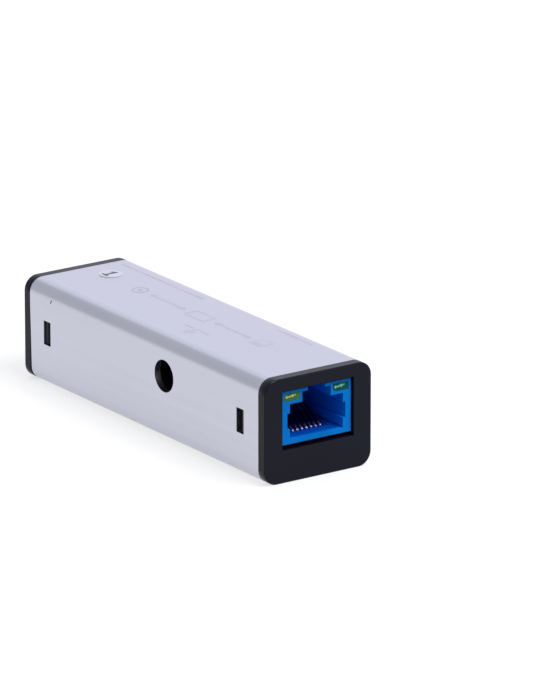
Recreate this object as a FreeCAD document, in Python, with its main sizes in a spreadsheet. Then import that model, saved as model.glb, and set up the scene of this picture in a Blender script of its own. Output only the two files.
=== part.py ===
"""Fibre media converter: an extruded housing with a copper port at one end and a fibre port at the other.

X runs across the housing, Y along it and Z up. The copper port faces -Y and the fibre port +Y.
The origin is at the middle of the underside. All lengths are millimetres and angles are degrees.
"""
import FreeCAD, Part
import math
import os
from types import SimpleNamespace

import Sketcher

SIZES = {
    # extruded housing
    "overall_width": 23.7,
    "overall_height": 20.0,
    "tube_length": 75.6,
    "corner_radius": 2.75,
    "wall": 1.3,
    "rail_depth": 1.2,
    "rail_thickness": 0.9,
    "rail_gap": 0.15,
    "slot_clearance": 0.1,
    "rear_seam_gap": 0.45,
    "rear_seam_top": 15.0,
    # snap windows in both side walls
    "window_length": 2.3,
    "window_height": 4.7,
    "window_centre": 10.65,
    "window_inset": 5.8,
    # end caps
    "plate_thickness": 2.05,
    "edge_bevel": 0.15,
    "spigot_length": 3.0,
    "spigot_thickness": 0.9,
    "spigot_width": 15.0,
    "spigot_clearance": 0.1,
    "arm_thickness": 1.1,
    "arm_width": 4.3,
    "arm_clearance": 0.15,
    "arm_tip": 0.8,
    "hook_reach": 0.95,
    "hook_flat": 0.9,
    "hook_clearance": 0.1,
    # circuit board
    "board_top": 6.15,
    "board_thickness": 1.6,
    "board_side_clearance": 0.15,
    "board_end_clearance": 0.3,
    "board_corner": 0.5,
    "lead_hole_clearance": 0.15,
    # copper jack
    "jack_width": 15.24,
    "jack_headroom": 1.45,
    "jack_depth": 16.5,
    "jack_lift": 0.9,
    "jack_recess": 0.55,
    "jack_gap": 0.3,
    "jack_gap_above": 0.3,
    "jack_gap_below": 0.75,
    "jack_floor": 0.95,
    "cavity_width": 11.8,
    "cavity_depth": 12.5,
    "groove_width": 12.9,
    "groove_bottom": 1.9,
    "groove_headroom": 1.75,
    "latch_width": 6.3,
    "latch_height": 1.95,
    "latch_roof": 0.65,
    "latch_depth": 9.0,
    "notch_width": 3.8,
    "notch_depth": 6.0,
    "foot_width": 1.0,
    "foot_length": 3.0,
    "peg_diameter": 3.1,
    "peg_length": 2.9,
    "peg_spacing": 11.43,
    "peg_setback": 9.0,
    "snug_fit": 0.03,
    # jack contacts and their carrier
    "contact_count": 8,
    "contact_pitch": 1.016,
    "contact_width": 0.45,
    "contact_thickness": 0.35,
    "contact_setback": 4.15,
    "contact_depth": 0.76,
    "contact_bend": 0.12,
    "contact_rise": 30.0,
    "contact_reach": 7.0,
    "contact_pin_setback": 13.3,
    "contact_row_step": 2.0,
    "carrier_setback": 3.1,
    "carrier_width": 9.4,
    "carrier_headroom": 1.9,
    "pin_standout": 1.0,
    # jack lights
    "light_width": 3.45,
    "light_height": 1.55,
    "light_length": 5.0,
    "light_offset": 5.4,
    "light_drop": 1.26,
    "light_recess": 0.05,
    "light_corner": 0.5,
    "light_channel_width": 2.2,
    "light_channel_height": 0.8,
    "light_lead_pitch": 1.27,
    "light_lead_size": 0.4,
    "light_lead_gap": 0.2,
    # signal transformer behind the jack
    "signal_transformer_width": 12.7,
    "signal_transformer_length": 6.4,
    "signal_transformer_height": 2.6,
    "signal_transformer_gap": 1.5,
    "signal_lead_count": 8,
    "signal_lead_pitch": 1.27,
    # power jack
    "power_headroom": 1.55,
    "power_axis_drop": 4.5,
    "power_station": 7.3,
    "power_hole_diameter": 6.2,
    "power_collar_diameter": 8.0,
    "power_body_width": 9.0,
    "power_bore_step": 0.2,
    "power_bore_depth": 9.5,
    "power_pin_diameter": 2.1,
    "power_pin_recess": 1.0,
    "power_tail_diameter": 1.5,
    "power_tail_length": 0.6,
    "power_terminal_thickness": 0.4,
    "power_terminal_width": 2.6,
    "power_spring_thickness": 0.3,
    "power_spring_width": 2.4,
    "power_spring_bow": 0.35,
    "power_spring_slot": 0.8,
    # power supply parts
    "coil_core_length": 10.0,
    "coil_core_height": 4.0,
    "coil_core_yoke": 1.7,
    "coil_side_share": 0.18,
    "coil_centre_share": 0.31,
    "coil_core_lift": 2.3,
    "coil_jack_gap": 0.3,
    "coil_controller_gap": 1.1,
    "coil_edge_gap": 0.2,
    "bobbin_wall": 0.5,
    "bobbin_fit": 0.1,
    "bobbin_flange": 0.6,
    "bobbin_flange_height": 8.0,
    "bobbin_side_gap": 0.15,
    "winding_gap": 0.25,
    "winding_corner": 1.5,
    "coil_pin_count": 4,
    "coil_pin_pitch": 1.8,
    "coil_pin_size": 0.5,
    "inductor_side": 4.0,
    "inductor_height": 3.0,
    "inductor_chamfer": 0.7,
    "inductor_gap": 0.45,
    "capacitor_height": 5.8,
    "capacitor_base_height": 1.6,
    "capacitor_edge_gap": 0.2,
    "capacitor_station": 13.4,
    "capacitor_gap": 1.2,
    "capacitor_optical_gap": 0.5,
    "capacitor_chamfer": 1.0,
    # chips
    "lead_thickness": 0.15,
    "lead_foot": 0.5,
    "lead_standoff": 0.1,
    "controller_width": 3.9,
    "controller_length": 4.9,
    "controller_height": 1.4,
    "controller_lead_count": 4,
    "controller_lead_pitch": 1.27,
    "controller_shift": 0.7,
    "controller_edge_gap": 1.2,
    "converter_side": 7.0,
    "converter_height": 1.4,
    "converter_lead_count": 8,
    "converter_lead_pitch": 0.8,
    "converter_gap": 0.4,
    "lead_reach": 1.0,
    "lead_width": 0.4,
    "fine_lead_width": 0.35,
    "crystal_width": 3.2,
    "crystal_length": 5.0,
    "crystal_height": 1.1,
    "crystal_gap": 0.4,
    "crystal_edge_gap": 0.4,
    "rectifier_width": 4.7,
    "rectifier_length": 3.9,
    "rectifier_height": 2.4,
    "rectifier_edge_gap": 0.55,
    "rectifier_lead_pitch": 2.5,
    "chip_length": 1.6,
    "chip_width": 0.8,
    "chip_height": 0.45,
    "chip_spacing": 1.7,
    "chip_row_gap": 0.1,
    # fibre port
    "port_width": 12.8,
    "port_lift": 1.0,
    "port_headroom": 1.75,
    "port_length": 14.0,
    "port_recess": 0.2,
    "port_gap": 0.15,
    "mouth_side_wall": 1.85,
    "mouth_wall": 1.15,
    "mouth_lip": 1.6,
    "key_width": 2.3,
    "key_height": 0.7,
    "key_depth": 6.0,
    "hollow_side_wall": 0.7,
    "hollow_wall": 0.95,
    "post_diameter": 2.0,
    "post_setback": 7.0,
    "post_spacing": 9.6,
    "latch_base": 1.5,
    "hook_arm_length": 9.4,
    "hook_arm_thickness": 0.8,
    "hook_arm_width": 2.6,
    "hook_arm_gap": 0.3,
    "hook_nose": 0.5,
    "hook_nose_length": 1.2,
    # optical assembly
    "sleeve_bore": 2.5,
    "sleeve_diameter": 3.2,
    "sleeve_length": 6.6,
    "barrel_diameter": 4.6,
    "barrel_fit": 0.02,
    "barrel_setback": 5.2,
    "stub_length": 2.6,
    "flange_diameter": 7.4,
    "flange_thickness": 1.2,
    "optical_diameter": 7.0,
    "optical_length": 7.6,
    "can_flange_diameter": 5.4,
    "can_flange_thickness": 1.0,
    "can_diameter": 4.6,
    "can_length": 2.6,
    "can_seat": 0.9,
    "light_bore": 1.4,
    "wire_diameter": 0.45,
    "wire_spread": 2.0,
    "wire_reach": 1.2,
    # round label on top
    "label_diameter": 4.5,
    "label_thickness": 0.1,
    "label_station": 31.6,
    "label_offset": 2.3,
}


class Size:
    """A number together with the spreadsheet formula that drives it."""

    def __init__(self, value, formula):
        self.value = value
        self.formula = formula

    def __add__(self, other):
        other = as_size(other)
        return Size(self.value + other.value, f"({self.formula} + {other.formula})")

    def __sub__(self, other):
        other = as_size(other)
        return Size(self.value - other.value, f"({self.formula} - {other.formula})")

    def __mul__(self, other):
        other = as_size(other)
        return Size(self.value * other.value, f"({self.formula} * {other.formula})")

    def __truediv__(self, other):
        other = as_size(other)
        return Size(self.value / other.value, f"({self.formula} / {other.formula})")

    def __neg__(self):
        return Size(-self.value, f"(-{self.formula})")

    def __radd__(self, other):
        return as_size(other) + self

    def __rsub__(self, other):
        return as_size(other) - self

    def __rmul__(self, other):
        return as_size(other) * self


def as_size(number):
    """Give a plain number the same form as a size from the sheet."""
    if isinstance(number, Size):
        return number
    return Size(float(number), f"({float(number)})")


def sine(angle):
    return Size(math.sin(math.radians(angle.value)), f"sin({angle.formula} * 1 deg)")


def cosine(angle):
    return Size(math.cos(math.radians(angle.value)), f"cos({angle.formula} * 1 deg)")


def fill_sheet():
    """Write every driving size into the sheet and name its cell."""
    sheet = doc.addObject("Spreadsheet::Sheet", "Sizes")
    for row, (name, value) in enumerate(SIZES.items(), start=1):
        sheet.set(f"A{row}", name)
        sheet.set(f"B{row}", str(value))
        sheet.setAlias(f"B{row}", name)
    doc.recompute()
    return SimpleNamespace(**{name: Size(value, f"Sizes.{name}") for name, value in SIZES.items()})


doc = FreeCAD.newDocument("fibre_media_converter")
s = fill_sheet()

# Places that several pieces share
half_width = s.overall_width / 2
inner_half_width = half_width - s.wall
inner_roof = s.overall_height - s.wall
tube_end = s.tube_length / 2
face = tube_end + s.plate_thickness
board_bottom = s.board_top - s.board_thickness
board_half_width = inner_half_width - s.board_side_clearance
board_end = tube_end - s.board_end_clearance
clear_half_width = inner_half_width - s.rail_depth - s.rail_gap

jack_front = face - s.jack_recess
jack_rear = jack_front - s.jack_depth
jack_bottom = s.board_top + s.jack_lift
jack_top = inner_roof - s.jack_headroom
cavity_floor = jack_bottom + s.jack_floor
cavity_roof = jack_top - s.latch_roof - s.latch_height
cavity_back = jack_front - s.cavity_depth
pin_bottom = board_bottom - s.pin_standout
light_axis = jack_top - s.light_drop
light_lead_station = jack_rear - s.light_lead_gap - s.light_lead_size / 2

power_mouth = inner_half_width
power_top = inner_roof - s.power_headroom
power_axis = power_top - s.power_axis_drop
power_bore = s.power_hole_diameter + 2 * s.power_bore_step
inductor_x = clear_half_width - s.coil_edge_gap / 2 - s.inductor_side / 2
power_rear = (inductor_x - s.inductor_side / 2 - s.inductor_gap - s.power_terminal_thickness
              - s.power_tail_length)

controller_x = clear_half_width - s.controller_edge_gap - s.controller_width / 2
coil_left = s.coil_edge_gap - clear_half_width
coil_right = controller_x - s.controller_width / 2 - s.lead_reach - s.coil_controller_gap
coil_width = coil_right - coil_left
coil_x = (coil_left + coil_right) / 2
coil_station = (s.power_body_width / 2 - s.power_station + s.coil_jack_gap + s.coil_core_yoke
                + s.coil_core_length / 2)
coil_axis = s.board_top + s.coil_core_lift + s.coil_core_height / 2
coil_window = s.coil_core_length - 2 * s.coil_core_yoke
coil_side_leg = coil_width * s.coil_side_share
coil_centre_leg = coil_width * s.coil_centre_share
bobbin_width = coil_width - 2 * coil_side_leg - 2 * s.bobbin_side_gap
crystal_station = (coil_station + s.coil_core_length / 2 + s.coil_core_yoke + s.crystal_gap
                   + s.crystal_length / 2)
coil_pin_reach = s.coil_core_length / 2 + s.coil_pin_size
converter_station = (coil_station + coil_pin_reach + s.coil_pin_size / 2 + s.converter_gap + s.lead_reach
                     + s.converter_side / 2)

port_bottom = s.board_top + s.port_lift
port_top = inner_roof - s.port_headroom
port_axis = (port_bottom + port_top) / 2
port_rise = (port_top - port_bottom) / 2
hollow_half_width = s.port_width / 2 - s.hollow_side_wall
hollow_rise = port_rise - s.hollow_wall
port_front = face - s.port_recess
port_rear = port_front - s.port_length


# ---------------------------------------------------------------- document helpers

def bind(thing, **properties):
    """Drive properties by sheet formulas; two underscores in a name stand for a dot."""
    for name, size in properties.items():
        thing.setExpression(name.replace("__", "."), as_size(size).formula)


def place(thing, x=0, y=0, z=0, turn=None):
    """Put a piece at a point, turned by an axis and angle where one is given."""
    if turn:
        axis, angle = turn
        rotation = FreeCAD.Rotation(FreeCAD.Vector(*axis), angle)
        thing.Placement = FreeCAD.Placement(FreeCAD.Vector(0, 0, 0), rotation)
    bind(thing, Placement__Base__x=x, Placement__Base__y=y, Placement__Base__z=z)
    return thing


def new_body(label):
    body = doc.addObject("PartDesign::Body", label)
    body.Label = label
    return body


def origin_part(body, role):
    return next(part for part in body.Origin.OriginFeatures if part.Role == role)


def new_sketch(body, name, plane, offset=0):
    """Sketch on one of the body's own origin planes, moved along the plane's normal."""
    sketch = body.newObject("Sketcher::SketchObject", f"{body.Label}_{name}")
    sketch.AttachmentSupport = [(origin_part(body, plane), "")]
    sketch.MapMode = "FlatFace"
    bind(sketch, AttachmentOffset__Base__z=offset)
    return sketch


def arc_between(start, end, radius):
    """Counter-clockwise arc of under half a turn."""
    chord = end - start
    middle = (start + end) * 0.5
    rise = math.sqrt(max(radius ** 2 - (chord.Length / 2) ** 2, 0))
    centre = middle + FreeCAD.Vector(-chord.y, chord.x, 0).normalize() * rise
    circle = Part.Circle(centre, FreeCAD.Vector(0, 0, 1), radius)
    first = math.atan2(start.y - centre.y, start.x - centre.x)
    last = math.atan2(end.y - centre.y, end.x - centre.x)
    return Part.ArcOfCircle(circle, first, last)


def fix_point(sketch, edge, end, x, y):
    """Tie one end of an edge to the sketch origin, both ways."""
    for direction, size in (("DistanceX", as_size(x)), ("DistanceY", as_size(y))):
        index = sketch.addConstraint(Sketcher.Constraint(direction, -1, 1, edge, end, size.value))
        sketch.setExpression(f"Constraints[{index}]", size.formula)


def fix_radius(sketch, edge, radius):
    index = sketch.addConstraint(Sketcher.Constraint("Radius", edge, radius.value))
    sketch.setExpression(f"Constraints[{index}]", radius.formula)


def outline(sketch, corners, bulges=None, hollows=None):
    """Closed outline, drawn counter-clockwise, with arcs from the numbered corners.

    A bulge is an arc that swells outwards and a hollow is one that bites inwards.
    """
    bulges = bulges or {}
    hollows = hollows or {}
    points = [FreeCAD.Vector(as_size(x).value, as_size(y).value, 0) for x, y in corners]
    ends = []
    for number, point in enumerate(points):
        following = points[(number + 1) % len(points)]
        if number in hollows:
            edge = sketch.addGeometry(arc_between(following, point, as_size(hollows[number]).value))
            ends.append((edge, 2, 1))
        elif number in bulges:
            edge = sketch.addGeometry(arc_between(point, following, as_size(bulges[number]).value))
            ends.append((edge, 1, 2))
        else:
            edge = sketch.addGeometry(Part.LineSegment(point, following))
            ends.append((edge, 1, 2))
    for number, (edge, first, last) in enumerate(ends):
        after, after_first, _ = ends[(number + 1) % len(ends)]
        sketch.addConstraint(Sketcher.Constraint("Coincident", edge, last, after, after_first))
    for number, (edge, first, _) in enumerate(ends):
        fix_point(sketch, edge, first, *corners[number])
    for arcs in (bulges, hollows):
        for number, radius in arcs.items():
            fix_radius(sketch, ends[number][0], as_size(radius))


def rectangle(sketch, left, right, low, high):
    outline(sketch, [(left, low), (right, low), (right, high), (left, high)])


def centred_rectangle(sketch, x, y, width, height):
    rectangle(sketch, x - width / 2, x + width / 2, y - height / 2, y + height / 2)


def rounded_rectangle(sketch, left, right, low, high, radius):
    corners = [
        (left + radius, low), (right - radius, low), (right, low + radius), (right, high - radius),
        (right - radius, high), (left + radius, high), (left, high - radius), (left, low + radius),
    ]
    outline(sketch, corners, bulges={1: radius, 3: radius, 5: radius, 7: radius})


def circle(sketch, x, y, diameter):
    x = as_size(x)
    y = as_size(y)
    diameter = as_size(diameter)
    centre = FreeCAD.Vector(x.value, y.value, 0)
    edge = sketch.addGeometry(Part.Circle(centre, FreeCAD.Vector(0, 0, 1), diameter.value / 2))
    fix_point(sketch, edge, 3, x, y)
    fix_radius(sketch, edge, diameter / 2)


def pad(body, sketch, length, both_ways=False, backwards=False):
    """Raise a sketch along its normal, against it, or half to each side."""
    feature = body.newObject("PartDesign::Pad", f"{sketch.Name}_pad")
    feature.Profile = sketch
    feature.SideType = "Symmetric" if both_ways else "One side"
    feature.Reversed = backwards
    bind(feature, Length=length)
    return feature


def pocket(body, sketch, length=None, both_ways=False, backwards=False):
    """Cut a sketch against its normal; with no length it cuts right through."""
    feature = body.newObject("PartDesign::Pocket", f"{sketch.Name}_pocket")
    feature.Profile = sketch
    feature.SideType = "Symmetric" if both_ways else "One side"
    feature.Reversed = backwards
    if length is None:
        feature.Type = "ThroughAll"
    else:
        bind(feature, Length=length)
    return feature


def row_of(body, feature, axis, count, spacing):
    """Repeat a feature in a straight row."""
    pattern = body.newObject("PartDesign::LinearPattern", f"{feature.Name}_row")
    pattern.Originals = [feature]
    pattern.Direction = (origin_part(body, axis), [""])
    pattern.Mode = "Spacing"
    bind(pattern, Offset=spacing, Occurrences=count)
    body.Tip = pattern
    return pattern


def mirrored(body, plane):
    """Add the mirror image of everything in the body so far."""
    doc.recompute()
    pattern = body.newObject("PartDesign::Mirrored", f"{body.Label}_mirrored_{plane[:2]}")
    pattern.TransformMode = "Whole shape"
    pattern.MirrorPlane = (origin_part(body, plane), [""])
    body.Tip = pattern
    return pattern


def bevelled_edges(body, feature, size, chosen):
    """Bevel the edges of the body's latest feature that the test picks."""
    doc.recompute()
    names = [f"Edge{n}" for n, edge in enumerate(feature.Shape.Edges, start=1) if chosen(edge.BoundBox)]
    bevel = body.newObject("PartDesign::Chamfer", f"{feature.Name}_bevel")
    bevel.Base = (feature, names)
    bind(bevel, Size=size)
    return bevel


def block(name, x, y, z, width, length, height):
    """Plain block: x and y are its middle and z its underside."""
    box = doc.addObject("Part::Box", name)
    bind(box, Length=width, Width=length, Height=height)
    place(box, x - width / 2, y - length / 2, z)
    return box


def cylinder(name, diameter, length, x, y, z, turn=None):
    rod = doc.addObject("Part::Cylinder", name)
    bind(rod, Radius=diameter / 2, Height=length)
    place(rod, x, y, z, turn)
    return rod


def group(label, members):
    """Like pieces that share one file as separate solids."""
    compound = doc.addObject("Part::Compound", label)
    compound.Label = label
    compound.Links = members
    return compound


def joined(label, members):
    fusion = doc.addObject("Part::MultiFuse", label)
    fusion.Label = label
    fusion.Shapes = members
    return fusion


def labelled(thing, label):
    thing.Label = label
    return thing


ALONG_Y = ((1, 0, 0), -90)
TOWARD_X = ((0, 1, 0), 90)
AGAINST_X = ((0, 1, 0), -90)
UPSIDE_DOWN = ((0, 1, 0), 180)
ABOUT_FACE = ((0, 0, 1), 180)


def bent_wire(sketch, start, corner, level, foot, size):
    """Wire that runs level from its start to a corner and then goes down to its foot."""
    half = size / 2
    outward = half if corner.value > start.value else -half
    outline(sketch, [
        (start, level - half), (corner - outward, level - half), (corner - outward, foot),
        (corner + outward, foot), (corner + outward, level + half), (start, level + half),
    ])


# ---------------------------------------------------------------- housing and caps

def housing_tube():
    """Extruded tube with rails for the board, snap windows and the power hole."""
    body = new_body("housing_tube")
    outer = new_sketch(body, "outer", "XZ_Plane")
    rounded_rectangle(outer, -half_width, half_width, 0, s.overall_height, s.corner_radius)
    pad(body, outer, s.tube_length, both_ways=True)
    inner = new_sketch(body, "inner", "XZ_Plane")
    inner_radius = s.corner_radius - s.wall
    rounded_rectangle(inner, -inner_half_width, inner_half_width, s.wall, inner_roof, inner_radius)
    pocket(body, inner, s.tube_length, both_ways=True)

    rails = new_sketch(body, "rails", "XZ_Plane")
    upper_rail = s.board_top + s.slot_clearance
    for low in (board_bottom - s.rail_thickness, upper_rail):
        for side in (-1, 1):
            middle = side * (inner_half_width - s.rail_depth / 2 + s.wall / 4)
            centred_rectangle(rails, middle, low + s.rail_thickness / 2,
                              s.rail_depth + s.wall / 2, s.rail_thickness)
    pad(body, rails, s.tube_length, both_ways=True)

    windows = new_sketch(body, "windows", "YZ_Plane")
    for end in (-1, 1):
        station = end * (tube_end - s.window_inset)
        centred_rectangle(windows, station, s.window_centre, s.window_length, s.window_height)
    pocket(body, windows, both_ways=True)

    hole = new_sketch(body, "power_hole", "YZ_Plane")
    circle(hole, -s.power_station, power_axis, s.power_hole_diameter)
    pocket(body, hole)

    slope = new_sketch(body, "rear_slope", "YZ_Plane")
    outline(slope, [(tube_end - s.rear_seam_gap, 0), (tube_end, 0), (tube_end, s.rear_seam_top)])
    pocket(body, slope, both_ways=True)
    return body


def end_cap(label, opening):
    """Moulded cap, drawn for the -Y end: plate, spigot walls and two hooked arms."""
    body = new_body(label)
    plate = new_sketch(body, "plate", "XZ_Plane", tube_end)
    rounded_rectangle(plate, -half_width, half_width, 0, s.overall_height, s.corner_radius)
    slab = pad(body, plate, s.plate_thickness)
    front = -face.value
    bevelled_edges(body, slab, s.edge_bevel, lambda box: box.YMax < front + 1e-4)

    spigots = new_sketch(body, "spigots", "XZ_Plane", tube_end)
    low = s.wall + s.spigot_clearance
    high = inner_roof - s.spigot_clearance
    for bottom in (low, high - s.spigot_thickness):
        rectangle(spigots, -s.spigot_width / 2, s.spigot_width / 2, bottom, bottom + s.spigot_thickness)
    pad(body, spigots, s.spigot_length, backwards=True)

    arms = new_sketch(body, "arms", "XZ_Plane", tube_end)
    arm_outside = inner_half_width - s.arm_clearance
    arm_length = s.window_inset + s.window_length / 2 + s.arm_tip
    centred_rectangle(arms, arm_outside - s.arm_thickness / 2, s.window_centre, s.arm_thickness, s.arm_width)
    pad(body, arms, arm_length, backwards=True)

    hook = new_sketch(body, "hook", "XY_Plane", s.window_centre)
    catch = s.window_inset - s.window_length / 2 + s.hook_clearance - tube_end
    release = catch + s.window_length - 2 * s.hook_clearance
    nose = inner_half_width + s.hook_reach
    root = arm_outside - s.arm_thickness / 2
    outline(hook, [
        (root, catch), (nose, catch), (nose, catch + s.hook_flat), (arm_outside, release), (root, release),
    ])
    pad(body, hook, s.arm_width, both_ways=True)
    mirrored(body, "YZ_Plane")

    port = new_sketch(body, "opening", "XZ_Plane", face)
    rectangle(port, *opening)
    pocket(body, port, s.plate_thickness + s.spigot_length)
    return body


def front_cap():
    reach = s.jack_width / 2 + s.jack_gap
    return end_cap("front_cap", (-reach, reach, jack_bottom - s.jack_gap_below, jack_top + s.jack_gap_above))


def rear_cap():
    reach = s.port_width / 2 + s.port_gap
    cap = end_cap("rear_cap", (-reach, reach, port_bottom - s.port_gap, port_top + s.port_gap))
    return place(cap, turn=ABOUT_FACE)


# ---------------------------------------------------------------- circuit board

def lead_hole(sketch, x, y, width, length):
    centred_rectangle(sketch, x, y, width + s.lead_hole_clearance, length + s.lead_hole_clearance)


def circuit_board():
    """Board that slides in the rails, with holes for every leaded part on it."""
    body = new_body("circuit_board")
    plan = new_sketch(body, "plan", "XY_Plane", board_bottom)
    rounded_rectangle(plan, -board_half_width, board_half_width, -board_end, board_end, s.board_corner)
    pad(body, plan, s.board_thickness)

    holes = new_sketch(body, "holes", "XY_Plane", s.board_top)
    for side in (-1, 1):
        circle(holes, side * s.peg_spacing / 2, -(jack_front - s.peg_setback),
               s.peg_diameter + s.lead_hole_clearance)
        circle(holes, side * s.post_spacing / 2, port_front - s.post_setback,
               s.post_diameter + s.lead_hole_clearance)
        for step in (-1, 1):
            x = side * s.light_offset + step * s.light_lead_pitch / 2
            lead_hole(holes, x, -light_lead_station, s.light_lead_size, s.light_lead_size)
    for number in range(SIZES["contact_count"]):
        lead_hole(holes, contact_x(number), contact_pin_y(number), s.contact_width, s.contact_thickness)
    for x, y in coil_pins():
        lead_hole(holes, x, y, s.coil_pin_size, s.coil_pin_size)
    for terminal in power_terminals():
        lead_hole(holes, *terminal)
    pocket(body, holes)
    return body


# ---------------------------------------------------------------- copper jack

def contact_x(number):
    return s.contact_pitch * (number - (s.contact_count - 1) / 2)


def contact_pin_y(number):
    """Pins stand in two rows, alternate contacts in each."""
    return -(jack_front - s.contact_pin_setback) + s.contact_row_step * (number % 2)


def rj45_housing():
    """Blue moulding: plug cavity, latch channel, light pockets, feet and pegs."""
    body = new_body("rj45_housing")
    half_jack = s.jack_width / 2
    shell = new_sketch(body, "shell", "XZ_Plane", jack_front)
    rectangle(shell, -half_jack, half_jack, jack_bottom, jack_top)
    pad(body, shell, s.jack_depth, backwards=True)

    feet = new_sketch(body, "feet", "XY_Plane", s.board_top)
    for side in (-1, 1):
        x = side * (half_jack - s.foot_width / 2)
        for y in (-board_end + s.foot_length / 2, -jack_rear - s.foot_length / 2):
            centred_rectangle(feet, x, y, s.foot_width, s.foot_length)
    pad(body, feet, s.jack_lift)

    pegs = new_sketch(body, "pegs", "XY_Plane", jack_bottom)
    for side in (-1, 1):
        circle(pegs, side * s.peg_spacing / 2, -(jack_front - s.peg_setback), s.peg_diameter)
    pad(body, pegs, s.peg_length, backwards=True)

    cavity = new_sketch(body, "cavity", "XZ_Plane", jack_front)
    plug = s.cavity_width / 2
    groove = s.groove_width / 2
    groove_low = cavity_floor + s.groove_bottom
    groove_high = cavity_roof - s.groove_headroom
    latch = s.latch_width / 2
    latch_roof = cavity_roof + s.latch_height
    outline(cavity, [
        (-plug, cavity_floor), (plug, cavity_floor),
        (plug, groove_low), (groove, groove_low), (groove, groove_high), (plug, groove_high),
        (plug, cavity_roof), (-plug, cavity_roof),
        (-plug, groove_high), (-groove, groove_high), (-groove, groove_low), (-plug, groove_low),
    ])
    pocket(body, cavity, s.cavity_depth)
    channel = new_sketch(body, "latch_channel", "XZ_Plane", jack_front)
    rectangle(channel, -latch, latch, cavity_roof, latch_roof)
    pocket(body, channel, s.latch_depth)
    notch = new_sketch(body, "latch_notch", "XZ_Plane", jack_front)
    rectangle(notch, -s.notch_width / 2, s.notch_width / 2, latch_roof, jack_top)
    pocket(body, notch, s.notch_depth)

    lights = new_sketch(body, "light_pockets", "XZ_Plane", jack_front)
    channels = new_sketch(body, "light_channels", "XZ_Plane", jack_front)
    for side in (-1, 1):
        light_outline(lights, side, s.snug_fit)
        centred_rectangle(channels, side * s.light_offset, light_axis,
                          s.light_channel_width, s.light_channel_height)
    pocket(body, lights, s.light_length + s.light_recess)
    pocket(body, channels, s.jack_depth)

    seat = new_sketch(body, "carrier_seat", "YZ_Plane")
    outline(seat, carrier_profile(s.snug_fit))
    pocket(body, seat, s.carrier_width + s.snug_fit, both_ways=True)
    return body


def light_outline(sketch, side, fit):
    """Rectangle of a light, grown by the fit; the one at +X has its lower inner corner cut off."""
    half_width = (s.light_width + fit) / 2
    half_height = (s.light_height + fit) / 2
    middle = side * s.light_offset
    left = middle - half_width
    right = middle + half_width
    low = light_axis - half_height
    high = light_axis + half_height
    if side < 0:
        rectangle(sketch, left, right, low, high)
    else:
        cut = s.light_corner
        outline(sketch, [(left + cut, low), (right, low), (right, high), (left, high), (left, low + cut)])


def carrier_profile(fit):
    """L-shaped side view of the contact carrier, grown by the fit where it slides."""
    tongue_front = -(jack_front - s.carrier_setback)
    top = jack_top - s.carrier_headroom + fit
    return [
        (tongue_front, jack_bottom), (-jack_rear, jack_bottom), (-jack_rear, top),
        (-cavity_back, top), (-cavity_back, cavity_floor), (tongue_front, cavity_floor),
    ]


def rj45_contact_carrier():
    """Black insert that closes the cavity floor and holds the spring wires."""
    body = new_body("rj45_contact_carrier")
    side = new_sketch(body, "side", "YZ_Plane")
    outline(side, carrier_profile(0))
    pad(body, side, s.carrier_width, both_ways=True)

    grooves = new_sketch(body, "grooves", "XZ_Plane", jack_front - s.carrier_setback)
    holes = new_sketch(body, "pin_holes", "XY_Plane", jack_bottom)
    slot = s.contact_width + s.snug_fit
    for number in range(SIZES["contact_count"]):
        x = contact_x(number)
        rectangle(grooves, x - slot / 2, x + slot / 2, cavity_floor - s.contact_depth, cavity_floor)
        centred_rectangle(holes, x, contact_pin_y(number), slot, s.contact_thickness + s.snug_fit)
    groove_length = s.contact_pin_setback + s.contact_row_step + s.contact_thickness - s.carrier_setback
    pocket(body, grooves, groove_length)
    pocket(body, holes, s.jack_floor, backwards=True)
    return body


def rj45_contacts():
    """Spring wires: a pin through the board, a run to the front and a hairpin back into the cavity."""
    body = new_body("rj45_contacts")
    bend_y = -(jack_front - s.contact_setback)
    run_low = cavity_floor - s.contact_depth
    inner = s.contact_bend
    outer = s.contact_bend + s.contact_thickness
    bend_z = run_low + outer
    along = s.contact_reach * cosine(s.contact_rise)
    up = s.contact_reach * sine(s.contact_rise)
    turns = [(180 - s.contact_rise) * (step / 3) for step in range(4)]
    inside = [(bend_y - inner * sine(turn), bend_z - inner * cosine(turn)) for turn in turns]
    outside = [(bend_y - outer * sine(turn), bend_z - outer * cosine(turn)) for turn in reversed(turns)]
    for first in (0, 1):
        pin = contact_pin_y(first)
        pin_front = pin - s.contact_thickness / 2
        pin_rear = pin + s.contact_thickness / 2
        wire = new_sketch(body, f"wire_{first}", "YZ_Plane", contact_x(first))
        tips = [(y + along, z + up) for y, z in (inside[-1], outside[0])]
        outline(wire, [
            (pin_front, pin_bottom), (pin_rear, pin_bottom), (pin_rear, run_low + s.contact_thickness),
            *inside, *tips, *outside, (pin_front, run_low),
        ])
        strip = pad(body, wire, s.contact_width, both_ways=True)
        row_of(body, strip, "X_Axis", s.contact_count / 2, 2 * s.contact_pitch)
    return body


def jack_light(label, side):
    """Rectangular light that fills its pocket in the jack's face."""
    body = new_body(label)
    lens = new_sketch(body, "lens", "XZ_Plane", jack_front - s.light_recess)
    light_outline(lens, side, 0)
    pad(body, lens, s.light_length, backwards=True)
    return body


def light_leads():
    """Four bent wires from the lights, through the jack and down to the board."""
    body = new_body("light_leads")
    front = -(jack_front - s.light_recess - s.light_length)
    for side in (-1, 1):
        left_wire = side * s.light_offset - s.light_lead_pitch / 2
        wire = new_sketch(body, f"wire_{side + 1}", "YZ_Plane", left_wire)
        bent_wire(wire, front, -light_lead_station, light_axis, pin_bottom, s.light_lead_size)
        strip = pad(body, wire, s.light_lead_size, both_ways=True)
        row_of(body, strip, "X_Axis", 2, s.light_lead_pitch)
    return body


# ---------------------------------------------------------------- chips and their leads

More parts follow.
